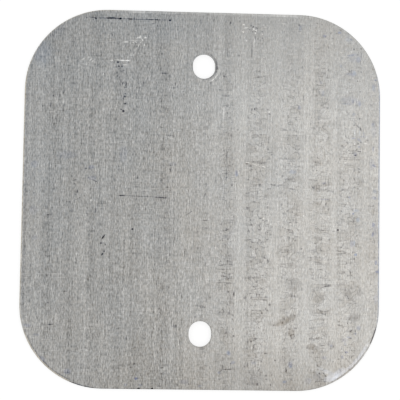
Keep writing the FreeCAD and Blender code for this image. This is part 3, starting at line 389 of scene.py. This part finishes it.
        (38.9, 31.2, 0.9, 0.4, 9), (39.6, 33.6, 0.22, 1.2, 12), (38.9, 34, 0.7, 1.6, 3), (47, 31.3, 1, 1, 4),
        (48.5, 38.4, 0.35, 0.35, 22), (22.4, -34.8, 1.9, 0.6, 10, 25), (25.9, -33.2, 1.8, 0.9, 8, 15),
    )),
    "blue_stains": ("spot", BLUE, 0.45, 0.4, (
        (9.6, 7.5, 0.6, 1.3, 19), (25.7, 8.2, 1.4, 0.7, 9), (44.6, -5.1, 0.8, 0.8, 4),
        (44.1, -2.4, 1.1, 0.5, 7), (43.2, -3.3, 0.4, 0.4, 30), (42.9, -12, 0.7, 1.3, 13),
        (43.65, -11.7, 0.4, 1.1, 8), (44, -15, 0.55, 0.5, 22), (49.5, 3.3, 0.7, 0.9, 6),
        (49.3, 1.2, 0.9, 0.5, 15), (49, -6.4, 0.5, 0.8, 22), (48.9, -9.2, 0.4, 0.9, 26),
        (50.2, -19.8, 0.6, 0.4, 28), (35, 0.6, 1.6, 0.28, 14), (34.9, 5.2, 0.7, 0.5, 14),
        (42.1, 1.3, 0.5, 0.4, 19), (44.2, -37.5, 0.35, 0.35, 19), (42.3, -38.4, 0.9, 0.28, 17),
        (41.2, -40.4, 0.5, 0.4, 10), (41.7, -42.6, 0.7, 0.35, 19), (40.4, -44, 0.5, 0.6, 15),
        (37.2, -40.9, 0.5, 0.6, 14), (33.5, -49.8, 1.8, 1.3, 3), (30.8, -50.9, 1.2, 1.2, 6),
        (44.5, 28.5, 1, 1, 7), (42, 29.4, 3, 1.2, 6), (41.3, 47.3, 0.9, 1.3, 4), (43, 37, 1.2, 1.2, 9),
        (43.5, 41.5, 2.6, 1.6, 5), (49, 33, 0.8, 1.6, 7), (48.5, 11, 1, 2, 7), (49, 21, 0.9, 3, 6),
        (49.8, -17.2, 0.5, 0.8, 21), (49.6, -8, 0.7, 2.4, 7), (49.8, -27.5, 0.6, 1.8, 9),
        (35.2, -44.3, 0.9, 0.6, 11), (45, -35.8, 0.8, 0.9, 11), (41, -39.3, 1.1, 0.7, 9),
        (8.1, -43.3, 0.7, 0.9, 15, 20), (9.4, -46, 0.7, 0.6, 14), (5.5, -48.8, 0.6, 0.5, 13),
        (15.2, -46, 0.9, 0.5, 10), (25.7, -46.4, 0.8, 1.1, 14), (24, -51.2, 0.9, 0.6, 13, 20),
        (0.2, -52.5, 0.8, 0.4, 11), (-4.3, -51.5, 1.6, 0.8, 7), (-37, -49, 1.4, 0.9, 11),
        (-48.4, -36.4, 1.3, 0.5, 13), (-45.8, -38.9, 1.2, 0.4, 9), (-43.9, -45.6, 1.3, 0.8, 10, -45),
        (-17.6, -50.7, 0.7, 0.5, 14), (-20.6, -52.5, 0.9, 0.4, 9), (-16.5, -52.5, 0.7, 0.4, 9),
        (-38.5, 11.8, 3.6, 1.4, 5), (-47.5, 9, 1.4, 1.2, 7), (-47.5, -4, 1.6, 1.6, 5),
        (-47, -11.8, 1.2, 1, 5), (-22.5, 12.5, 1.4, 3, 5), (-8.6, 9.8, 1.4, 0.7, 6),
        (-31.2, 5.4, 1.6, 0.7, 9), (-46.5, 41, 3.5, 4, 4), (-43, 48, 4, 4, 3), (44.9, 28.2, 0.5, 1.1, 13),
        (42.9, 29, 0.5, 0.9, 11), (41.5, 28.2, 2.2, 0.3, 10), (43.2, 25.2, 0.8, 0.6, 11),
        (43.2, 18.3, 0.8, 0.3, 22), (44.8, 17.8, 0.7, 0.5, 18, -40), (46.2, 18.8, 1.5, 0.22, 11),
        (46.1, 19.6, 0.3, 0.9, 11), (44.8, 15.9, 0.5, 0.3, 19), (43.7, 13.7, 0.6, 0.6, 14),
        (48.8, 15.3, 0.35, 0.9, 14), (48.6, 22.4, 0.5, 0.6, 13), (49.1, 10.5, 0.9, 0.35, 19, -35),
        (27.5, 26.8, 0.5, 0.8, 18), (27.5, 49.8, 0.5, 1, 11), (34.6, 47.7, 0.7, 0.45, 22),
        (38.9, 48.7, 0.7, 0.35, 33), (42.3, 46.9, 0.4, 0.4, 21), (42.3, 42.3, 1.6, 0.4, 14, 10),
        (44.4, 41, 0.8, 1, 11), (39.4, 39.2, 0.5, 0.6, 11), (42, 36.8, 1.5, 0.5, 10),
        (33.6, 34.2, 0.6, 0.5, 10), (34.2, 31, 0.5, 1, 11), (49, 33.4, 0.8, 0.4, 8),
        (49.4, 35.3, 0.5, 0.3, 19), (-17.8, -50.7, 0.5, 0.45, 20), (-31.5, 8.5, 1, 0.6, 12),
    )),
    "light_blue_spots": ("spot", SKY, 0.6, 0.1, (
        (44.6, -5.1, 0.8, 0.8, 9), (44, -2.4, 1, 0.5, 5), (44, -15, 0.55, 0.55, 10),
        (43.65, -11.7, 0.4, 1.1, 9), (25.7, 8.2, 1.3, 0.7, 5), (43.3, 37.2, 0.7, 0.8, 9),
        (41.3, 46.7, 0.9, 0.9, 5), (45, -35.8, 0.8, 0.8, 2), (36.2, 21.6, 0.22, 0.7, 8),
        (44.9, 19.9, 0.25, 1.2, 8), (43.5, 20, 0.25, 1.2, 6), (48.8, 32.8, 0.4, 0.7, 8),
        (8.1, -43.3, 0.7, 0.9, 5, 20), (49.4, 3.2, 0.7, 0.8, 5), (25.7, -46.9, 0.5, 0.3, 9),
        (24, -51.2, 0.6, 0.4, 9), (9.8, 7.1, 0.3, 0.3, 9), (-12, 49, 24, 7, 2), (-46, 41, 4, 6, 3),
        (-22, -32, 9, 13, 2),
    )),
    "drop_outlines": ("ring", GREY, 0.22, 0.4, (
        (25.4, -15.3, 3, 1.6, 10), (25.4, -47.8, 1, 1.9, 16), (18, -17.2, 1.3, 1, 16),
        (8.2, -27.3, 1.5, 1.4, 10), (-27.6, -27.5, 1.1, 1, 6), (-38.8, -31.5, 0.8, 1, 16),
        (27.8, 38.5, 2.8, 3.2, 5), (44, 20, 2, 2, 6),
    )),
    "drop_arches": ("arch", GREY, 0.28, 0.4, (
        (43.6, -12.6, 2.2, 3.2, 6, 90), (43.3, -35, 3, 2.6, 8, 90), (34, -50.6, 2.4, 2.4, 8, 90),
        (40.2, -43.8, 1.6, 3, 6, 100),
    )),
    # Painted shade: darker rims round the slots, where the front face turns down into them.
    "slot_rim_shade": ("arch", GREY, 0.07, 0.1, (
        (0, SLOT_UP, 3.6, 4, 10, 215), (0, SLOT_UP, 3.6, 4, 30, 55), (0, -SLOT_UP, 3.6, 4, 5),
    )),
    # Painted shade: the dark crescent of the upper slot's bevel, which faces away from the light.
    "slot_bevel_shade": ("arch", GREY, 0.11, 0.1, (
        (0, SLOT_UP, 4.15, 4.25, 30, -12),
    )),
    # Painted shade of small dents in the upper slot's rim, where it slopes down into the slot.
    "slot_nick_shade": ("spot", GREY, 0.7, 0.1, (
        (3.65, 38.8, 0.34, 0.34, 26), (3.95, 37.5, 0.26, 0.6, 26), (3.65, 36.5, 0.38, 0.38, 26),
        (2.8, 35.3, 0.45, 0.26, 18, 45), (-2.6, 40.7, 0.4, 0.26, 20, 45), (4.1, 35.6, 0.3, 0.8, 10, -30),
        (2.8, 34.2, 0.5, 0.17, 11, 25),
    )),
    "slot_glints": ("arch", PALE, 0.09, 0.1, (
        (0.4, 37.9, 4.7, 4.7, 4, -43),
    )),
    # Paler smears on the worn corner: rubbing and a painted highlight of the flat's reflection.
    "worn_smears_and_highlight": ("spot", PALE_WEAR_AND_HIGHLIGHT, 0.6, 0.4, (
        (37.6, -49.7, 2.5, 1.5, 26, 20), (36.2, -48.3, 1.8, 0.7, 20, -12), (34.6, -47.6, 1.8, 0.45, 13, -15),
        (35.8, -50.4, 1, 0.9, 12), (39.6, -48.2, 2.6, 1.1, 27, 36), (33.6, -48.3, 1.6, 0.5, 6, -10),
    )),
}

# Painted highlights, reflections and shade on the plate's rounded edges, as stripes along the outline. Each
# group: its tone and its places, which are as above, but with the first and last millimetres in from the
# outline before the strength. A stripe is drawn where it lies in its ellipse.
EDGE_SHEEN_AND_SHADE = (
    (PALE, (
        (1, 53.3, 32, 3, 0.1, 0.7, 22), (-19, 53.3, 2.4, 3, 0, 0.8, 25), (23, 53.3, 4.6, 3, 0, 0.8, 25),
        (-49, 0, 42, 3, 1.6, 1.9, 12, 90),
    )),
    (PALE_WEAR_AND_HIGHLIGHT, (
        (43, -46.6, 9.8, 4.5, 0.5, 1.35, 24, 43), (43, -46.6, 9.8, 4.5, 0, 0.2, 8, 43),
    )),
    (TAN, (
        (-50.7, 0, 42, 3, -0.3, 0.28, 40, 90), (-44.5, -46, 14, 5, -0.3, 0.38, 35, -45),
        (-40, 42, 26, 12, 0, 0.3, 22, 45),
    )),
    (GREY, (
        (-50, 0, 42, 3, 0.7, 1.2, 20, 90), (-44.5, -46, 14, 5, 0.45, 0.75, 40, -45),
        (-33, -52.6, 4.2, 2, -0.3, 0.25, 85, -16), (-21.5, -53.6, 10, 1.5, -0.3, 0.2, 45),
        (10, -53.7, 34, 1.5, -0.3, 0.15, 20), (43, -46.6, 9.8, 4.5, 0.25, 0.5, 30, 43),
        (49.4, -38, 3, 1.8, -0.3, 0.45, 70, 68),
    )),
    (STEEL, (
        (50.7, 0, 44, 3, -0.3, 0.35, 40, 90),
    )),
)

# Broad changes of tone over the front face, in the form of marks.
BANDS = (
    (-49.5, 0, 1.3, 90, -3), (-46.4, 0, 2.2, 90, 13), (-42.9, 0, 1.6, 90, -12), (-37, 0, 1.4, 90, -7),
    (-33.2, 0, 1.6, 90, 7), (-31, 0, 1.2, 90, -8), (-27, 0, 1.2, 90, 4), (-23, 28, 1.3, 26, -6),
    (-19.2, 0, 1.2, 90, -4), (-11, 0, 1.4, 90, -3), (1, 0, 1.2, 90, -5), (7, 0, 1.5, 90, -8),
    (11, 0, 1.2, 90, 2), (13.2, 0, 1.2, 90, -12), (23, 0, 1.4, 90, 4), (29.6, 0, 1.4, 90, 4),
    (33, 0, 1.4, 90, -2), (39, 0, 1.5, 90, -12), (43.8, 0, 2, 90, -2), (46, -5, 8, 90, -8),
    (-50, 0, 4, 90, 6), (14, 56, 38, 16, -11), (24, -58, 46, 22, -32), (-16, -56, 24, 20, -12),
    (-50, -44, 8, 24, 20), (-48, 46, 10, 12, -18), (-18, -42, 7, 17, -16), (42, 22, 18, 42, 9),
    (16, 26, 30, 13, 8), (-39, 0, 1.2, 90, 5), (-15, 0, 1.2, 90, 4), (-8, 0, 2, 90, 9), (-1.2, 0, 1.2, 90, 7),
    (20.5, 0, 1.4, 90, -5), (35, 0, 1.1, 90, 5), (-24, 30, 20, 13, 4), (-26, -24, 14, 15, -4),
    (8, -46, 11, 8, -9), (-49, -14, 3, 16, 8), (0, 12, 9, 26, 4),
)

# Scratches on the back face, in the form of marks.
BACK_SCRATCHES = (
    (-18, 22, 14, 0.22, 22, 12), (10, 5, 9, 0.2, 16, -38), (28, -20, 6, 0.25, -20, 64),
    (-30, -25, 7.5, 0.2, 18, -8), (4, -44, 5, 0.25, -22, 3), (33, 34, 4, 0.3, 20, 40),
    (-40, 8, 2.2, 0.3, -25, 80),
)


class Nodes:
    """Adds nodes to one tree. Each is made just after what it reads, which keeps long sums cheap."""

    def __init__(self, tree):
        self.tree = tree
        self.tree.nodes.clear()

    def add(self, kind, *inputs, named=(), output=0, **settings):
        """A node of that kind. Its inputs are set in order, and others by name, each to an output that is
        linked or to a value. None skips one."""
        node = self.tree.nodes.new(kind)
        for name, value in settings.items():
            setattr(node, name, value)
        for key, value in [*enumerate(inputs), *named]:
            if isinstance(value, bpy.types.NodeSocket):
                self.tree.links.new(value, node.inputs[key])
            elif value is not None:
                node.inputs[key].default_value = value
        return node.outputs[output] if len(node.outputs) else None

    def math(self, operation, *inputs):
        return self.add("ShaderNodeMath", *inputs, operation=operation)

    def vector(self, operation, *inputs):
        return self.add("ShaderNodeVectorMath", *inputs, operation=operation)

    def measure(self, operation, *inputs):
        """A number from vectors, such as a length."""
        return self.add("ShaderNodeVectorMath", *inputs, operation=operation, output=1)

    def blend(self, share, first, last):
        """First where share is 0 and last where it is 1."""
        return self.math("MULTIPLY_ADD", self.math("SUBTRACT", last, first), share, first)

    def ease(self, value, start, end, first=0.0, last=1.0):
        """A soft step: first up to start, last from end on, and smooth between them."""
        return self.add(
            "ShaderNodeMapRange", value, start, end, first, last, interpolation_type="SMOOTHSTEP", clamp=False
        )

    def even_noise(self, place, scale, detail, roughness):
        """Smooth noise about 0, with as many features to the millimetre as scale says."""
        value = self.add("ShaderNodeTexNoise", place, None, scale, detail, roughness)
        return self.math("SUBTRACT", value, NOISE_MIDDLE)

    def noise(self, place, scale, detail=2.0, roughness=0.5, seed=0.0):
        """Smooth noise about 0. Scale is in features to the millimetre, along x and y."""
        moved = self.add("ShaderNodeMapping", place, (seed, -seed, seed), None, (*scale, 1.0))
        return self.even_noise(moved, 1.0, detail, roughness)

    def measured(self, place, x, y, half_length, half_width, turn=0.0):
        """Place as an ellipse sees it, whose middle is at x and y and whose outline is 1 from there."""
        return self.add(
            "ShaderNodeMapping", place, (x, y, 0.0), (0.0, 0.0, math.radians(turn)),
            (half_length, half_width, 1.0), vector_type="TEXTURE",
        )

    def gradient(self, near, kind):
        return self.add("ShaderNodeTexGradient", near, gradient_type=kind, output=1)

    def wandering(self, flat):
        """Flat with its places moved about by each of RAGGED, which makes what is drawn there ragged."""
        wander = self.add("ShaderNodeTexNoise", flat, None, *WANDER, output=1)
        wander = self.vector("SUBTRACT", wander, (NOISE_MIDDLE,) * 3)
        return {
            reach: self.vector("MULTIPLY_ADD", wander, (2.0 * reach, 2.0 * reach, 0.0), flat)
            for reach in RAGGED
        }


def material_nodes(name):
    """A new material and its empty tree."""
    material = bpy.data.materials.new(name)
    material.use_nodes = True
    return material, Nodes(material.node_tree)


def look_at(place, aim, roll):
    """A matrix at place that looks at aim, its upright leaning by roll degrees from the Y axis."""
    back = (place - aim).normalized()
    upright = Vector((-math.sin(math.radians(roll)), math.cos(math.radians(roll)), 0.0))
    right = upright.cross(back).normalized()
    turned = Matrix((right, back.cross(right), back)).transposed()
    return Matrix.Translation(place) @ turned.to_4x4()


def add_object(name, data):
    added = bpy.data.objects.new(name, data)
    bpy.context.scene.collection.objects.link(added)
    return added


def add_camera():
    camera = add_object("camera", bpy.data.cameras.new("camera"))
    camera.data.lens = CAMERA_LENS
    camera.matrix_world = look_at(
        Vector(CAMERA_PLACE) * MILLIMETRE, Vector(CAMERA_AIM) * MILLIMETRE, CAMERA_ROLL
    )
    bpy.context.scene.camera = camera


def add_lamps():
    for name, place, width, height, watts in LAMPS:
        lamp = add_object(name, bpy.data.lights.new(name, "AREA"))
        lamp.data.shape = "RECTANGLE"
        lamp.data.size = width
        lamp.data.size_y = height
        lamp.data.energy = watts
        lamp.matrix_world = look_at(Vector(place), Vector(), 0.0)


def add_world():
    world = bpy.data.worlds.new("studio")
    world.use_nodes = True
    sky = world.node_tree.nodes["Background"]
    sky.inputs["Color"].default_value = WHITE
    sky.inputs["Strength"].default_value = WORLD_LEVEL
    bpy.context.scene.world = world


def floor_material():
    """White to the camera and in the metal, with the plate's soft shadow on it, and clear from below."""
    material, nodes = material_nodes("pale_floor")
    path = nodes.add("ShaderNodeLightPath").node
    seen = nodes.math("ADD", path.outputs["Is Camera Ray"], path.outputs["Is Glossy Ray"])
    seen = nodes.math("ADD", seen, path.outputs["Is Transmission Ray"])
    strength = nodes.math("MULTIPLY", seen, FLOOR_GLOW)
    glow = nodes.add("ShaderNodeEmission", WHITE, strength)
    lit = nodes.add("ShaderNodeAddShader", nodes.add("ShaderNodeBsdfDiffuse", FLOOR_COLOUR), glow)
    below = nodes.add("ShaderNodeNewGeometry").node.outputs["Backfacing"]
    clear = nodes.add("ShaderNodeBsdfTransparent")
    nodes.add("ShaderNodeOutputMaterial", nodes.add("ShaderNodeMixShader", below, lit, clear))
    return material


def add_floor():
    mesh = bpy.data.meshes.new("floor")
    reach = FLOOR_HALF_WIDTH
    corners = [(-reach, -reach, 0.0), (reach, -reach, 0.0), (reach, reach, 0.0), (-reach, reach, 0.0)]
    mesh.from_pydata(corners, [], [(0, 1, 2, 3)])
    mesh.materials.append(floor_material())
    floor = add_object("floor", mesh)
    floor.location.z = -FLOOR_GAP


def add_grain(nodes, flat, bright):
    """The rolled grain, which runs up the plate, as a tone about 0. It is weaker in the bright half."""
    total = 0.0
    for scale, strength, seed in GRAIN:
        total = nodes.math("MULTIPLY_ADD", nodes.noise(flat, scale, seed=seed), strength, total)
    for scale, seed, patch_scale, patch_seed, strength in HAIRLINES:
        patches = nodes.noise(flat, patch_scale, seed=patch_seed)
        lines = nodes.math("MULTIPLY", nodes.noise(flat, scale, seed=seed), patches)
        total = nodes.math("MULTIPLY_ADD", lines, strength, total)
    return nodes.math("MULTIPLY", total, nodes.blend(bright, 1.0, BRIGHT_GRAIN))


def draw_spot(nodes, near, fade, strength):
    """A filled ellipse that fades out at its rim."""
    return nodes.ease(nodes.gradient(near, "SPHERICAL"), 0.0, fade, 0.0, strength)


def draw_ring(nodes, near, fade, strength):
    """The outline of an ellipse."""
    away = nodes.math("SUBTRACT", nodes.gradient(near, "SPHERICAL"), fade)
    return nodes.ease(nodes.math("ABSOLUTE", away), 0.0, fade, strength, 0.0)


def draw_arch(nodes, near, fade, strength):
    """The half of an ellipse's outline that lies towards the end of its length."""
    ring = draw_ring(nodes, near, fade, strength)
    return nodes.math("MULTIPLY", ring, nodes.ease(nodes.gradient(near, "LINEAR"), 0.0, ARCH_FADE))


DRAWING = {"spot": draw_spot, "ring": draw_ring, "arch": draw_arch}


def add_up(name, draw, fade, places):
    """A node group that adds up some marks: it takes a place on the plate and gives their strength there."""
    tree = bpy.data.node_groups.new(name, "ShaderNodeTree")
    tree.interface.new_socket("Place", in_out="INPUT", socket_type="NodeSocketVector")
    tree.interface.new_socket("Strength", in_out="OUTPUT", socket_type="NodeSocketFloat")
    nodes = Nodes(tree)
    place = nodes.add("NodeGroupInput")
    total = 0.0
    for x, y, half_length, half_width, percent, *turn in places:
        near = nodes.measured(place, x, y, half_length, half_width, *turn)
        total = nodes.math("ADD", draw(nodes, near, fade, percent / 100.0), total)
    nodes.add("NodeGroupOutput", total)
    return tree


def use_group(nodes, tree, place):
    """The strength that a node group gives at place."""
    return nodes.add("ShaderNodeGroup", place, node_tree=tree)


def add_marks(nodes, ragged, amounts):
    """Adds every mark to the amounts of the tones."""
    for name, (kind, tone, fade, reach, places) in MARKS.items():
        for start in range(0, len(places), MOST_MARKS):
            group = add_up(name, DRAWING[kind], fade, places[start:start + MOST_MARKS])
            marks = use_group(nodes, group, ragged[reach])
            amounts[tone] = nodes.math("ADD", marks, amounts[tone])


def add_stain_columns(nodes, flat, ragged, amounts):
    """Films of dried drops, with fine dotted outlines one inside another, in upright columns."""
    places = [(x, COLUMN_MIDDLE, half_width, COLUMN_HALF_LENGTH, percent)
              for x, half_width, percent in STAIN_COLUMNS]
    slight, medium, strong = (ragged[reach] for reach in RAGGED)
    columns = use_group(nodes, add_up("stain_columns", draw_spot, COLUMN_FADE, places), strong)
    flakes = nodes.noise(nodes.vector("SNAP", slight, FLAKE_STEPS), *FLAKES)
    drops = nodes.noise(medium, *DROPS)
    dots = nodes.ease(nodes.noise(flat, *DOTS), *DOT_STEP)
    lines = nodes.ease(nodes.math("PINGPONG", flakes, FLAKE_SPACING), *FLAKE_LINE)
    rims = nodes.math("PINGPONG", nodes.math("ADD", drops, DROP_START), DROP_SPACING)
    rims = nodes.ease(rims, *DROP_RIM)
    stains = nodes.math("MULTIPLY", nodes.math("ADD", lines, rims), dots)
    amounts[GREY] = nodes.math("MULTIPLY", stains, columns)
    amounts[BROWN] = nodes.math("MULTIPLY", nodes.ease(drops, *FILM), columns)


def inset_from_outline(nodes, flat):
    """Millimetres in from the plate's outline, a little ragged."""
    away = nodes.vector("SUBTRACT", nodes.vector("ABSOLUTE", flat), CORNER_CENTRE)
    away = nodes.measure("LENGTH", nodes.vector("MAXIMUM", away, (0.0, 0.0, 0.0)))
    ragged = nodes.noise(flat, *OUTLINE_NOISE)
    return nodes.math("MULTIPLY_ADD", ragged, OUTLINE_RAGGED, nodes.math("SUBTRACT", CORNER_RADIUS, away))


def add_edge_sheen_and_shade(nodes, flat, amounts):
    """Adds the stripes along the outline, painted highlights and shade of the rounded edges, to the amounts
    of the tones.
    """
    inset = inset_from_outline(nodes, flat)
    soft = STRIPE_SOFTNESS
    for tone, places in EDGE_SHEEN_AND_SHADE:
        for x, y, half_length, half_width, first, last, percent, *turn in places:
            near = nodes.measured(flat, x, y, half_length, half_width, *turn)
            stripe = draw_spot(nodes, near, STRIPE_FADE, percent / 100.0)
            stripe = nodes.math("MULTIPLY", stripe, nodes.ease(inset, first - soft, first + soft))
            stripe = nodes.math("MULTIPLY", stripe, nodes.ease(inset, last + soft, last - soft))
            amounts[tone] = nodes.math("ADD", stripe, amounts[tone])


def tint(nodes, flat):
    """How much colder the metal is: more so towards the upper left, with a fine speckle."""
    cold = nodes.measure("DOT_PRODUCT", flat, COLD_SLOPE)
    for noise, strength in COLD_NOISES:
        cold = nodes.math("MULTIPLY_ADD", nodes.noise(flat, *noise), strength, cold)
    return cold


def add_worn_corner_and_highlight(nodes, flat, amounts):
    """The flat rubbed on the lower right corner: paler, partly from rubbing and partly as a painted highlight
    of its reflection, and scuffed along the edge.
    """
    turn = math.radians(WORN_BEARING)
    bearing = Vector((math.cos(turn), math.sin(turn), 0.0))
    centre = Vector((CORNER_CENTRE[0], -CORNER_CENTRE[1], 0.0))
    start = centre.dot(bearing) + CORNER_RADIUS - WORN_REACH
    reach = nodes.measure("DOT_PRODUCT", flat, bearing)
    worn = nodes.ease(reach, start - WORN_SOFTNESS, start + WORN_SOFTNESS)
    along = nodes.add("ShaderNodeMapping", flat, None, (0.0, 0.0, -math.pi / 2.0 - turn))
    paler = nodes.math("MULTIPLY_ADD", nodes.noise(along, *SCUFFS), SCUFF_STRENGTH, WORN_AND_HIGHLIGHT_TONE)
    # Painted highlight on the worn flat, along with its rubbing.
    amounts[PALE_WEAR_AND_HIGHLIGHT] = nodes.math("MULTIPLY_ADD", worn, paler, amounts[PALE_WEAR_AND_HIGHLIGHT])


def wall_look(nodes, place):
    """The tone and roughness of the sheared walls: a smooth band above a torn and duller one."""
    height = nodes.add("ShaderNodeSeparateXYZ", place, output=2)
    height = nodes.math("MULTIPLY_ADD", nodes.noise(place, *BURNISH_NOISE), BURNISH_RAGGED, height)
    burnished = nodes.ease(height, *BURNISH_START)
    lines = nodes.add("ShaderNodeMapping", place, None, None, WALL_LINES)
    lines = nodes.even_noise(lines, 1.0, *WALL_NOISE)
    pits = nodes.even_noise(place, WALL_PITS, *WALL_NOISE)
    torn = nodes.math("ADD", pits, TORN_TONE)
    tone = nodes.blend(burnished, torn, BURNISHED_TONE)
    tone = nodes.math("MULTIPLY_ADD", lines, WALL_LINE_STRENGTH, tone)
    return tone, nodes.ease(burnished, 0.0, 1.0, TORN_ROUGHNESS, BURNISHED_ROUGHNESS)


def back_look(nodes, flat, grain):
    """The tone of the back face: the grain, faint cloudy stains and a few rubbed scratches."""
    tone = nodes.math("MULTIPLY_ADD", nodes.noise(flat, *BACK_CLOUDS), BACK_CLOUD_STRENGTH, grain)
    scratches = add_up("back_scratches", draw_spot, BACK_SCRATCH_FADE, BACK_SCRATCHES)
    return nodes.math("ADD", tone, use_group(nodes, scratches, flat))


def front_look(nodes, flat, bright, grain):
    """The amounts of the tones on the front face."""
    amounts = dict.fromkeys((GREY, BROWN, BLUE, PALE, TAN, STEEL, PALE_WEAR_AND_HIGHLIGHT, SKY), 0.0)
    ragged = nodes.wandering(flat)
    add_stain_columns(nodes, flat, ragged, amounts)
    bands = use_group(nodes, add_up("bands", draw_spot, BAND_FADE, BANDS), flat)
    bands = nodes.math("MULTIPLY_ADD", bright, BRIGHTER, bands)
    amounts[PALE] = nodes.math("ADD", bands, grain)
    add_marks(nodes, ragged, amounts)
    add_edge_sheen_and_shade(nodes, flat, amounts)
    add_worn_corner_and_highlight(nodes, flat, amounts)
    return amounts


def add_roughness(nodes, amounts):
    """The roughness, which stains and dark scratches raise and pale rubbed places lower."""
    roughness = ROUGHNESS
    for tone, rougher in ROUGHER:
        roughness = nodes.math("MULTIPLY_ADD", amounts[tone], rougher, roughness)
    return roughness


def all_looks(nodes, place, flat, facing, bright, grain):
    """The amounts of the tones, and the roughness, on the front, the walls and the back."""
    front = nodes.ease(facing, *FRONT_FACING)
    wall = nodes.ease(nodes.math("ABSOLUTE", facing), *WALL_FACING)
    wall_tone, wall_roughness = wall_look(nodes, place)
    other = nodes.blend(wall, back_look(nodes, flat, grain), wall_tone)
    amounts = front_look(nodes, flat, bright, grain)
    for tone in amounts:
        amounts[tone] = nodes.blend(front, other if tone == PALE else 0.0, amounts[tone])
    roughness = nodes.blend(wall, add_roughness(nodes, amounts), wall_roughness)
    return amounts, roughness


def mixed_colour(nodes, amounts):
    """The metal's colour with every tone in its amount."""
    shade = (1.0, 1.0, 1.0)
    for tone, amount in amounts.items():
        shade = nodes.vector("MULTIPLY_ADD", amount, tone, shade)
    return nodes.vector("MULTIPLY", shade, ALUMINIUM)


def grain_bump(nodes, grain):
    """The normal with the grain's slight depth in it."""
    height = nodes.math("MULTIPLY", grain, GRAIN_DEPTH)
    named = ("Strength", 1.0), ("Distance", MILLIMETRE), ("Height", height)
    return nodes.add("ShaderNodeBump", named=named)


def aluminium_material():
    material, nodes = material_nodes("aluminium_sheet")
    spot = nodes.add("ShaderNodeTexCoord").node
    place = nodes.vector("MULTIPLY", spot.outputs["Object"], (1.0 / MILLIMETRE,) * 3)
    flat = nodes.vector("MULTIPLY", place, (1.0, 1.0, 0.0))
    facing = nodes.add("ShaderNodeSeparateXYZ", spot.outputs["Normal"], output=2)
    across = nodes.add("ShaderNodeSeparateXYZ", flat, output=0)
    bright = nodes.ease(across, BRIGHT_START, BRIGHT_END)
    grain = add_grain(nodes, flat, bright)
    amounts, roughness = all_looks(nodes, place, flat, facing, bright, grain)
    amounts[COLD] = tint(nodes, flat)
    metal = nodes.add("ShaderNodeBsdfPrincipled", named=(
        ("Base Color", mixed_colour(nodes, amounts)),
        ("Metallic", 1.0),
        ("Roughness", roughness),
        ("Normal", grain_bump(nodes, grain)),
        ("Anisotropic", ANISOTROPY),
        ("Tangent", nodes.add("ShaderNodeTangent", direction_type="RADIAL", axis="Y")),
    ))
    nodes.add("ShaderNodeOutputMaterial", metal)
    return material


def dress_plate():
    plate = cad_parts["cover_plate"]
    plate.material_slots[0].material = aluminium_material()


add_camera()
add_lamps()
add_world()
add_floor()
dress_plate()
bpy.context.scene.view_settings.view_transform = "Standard"
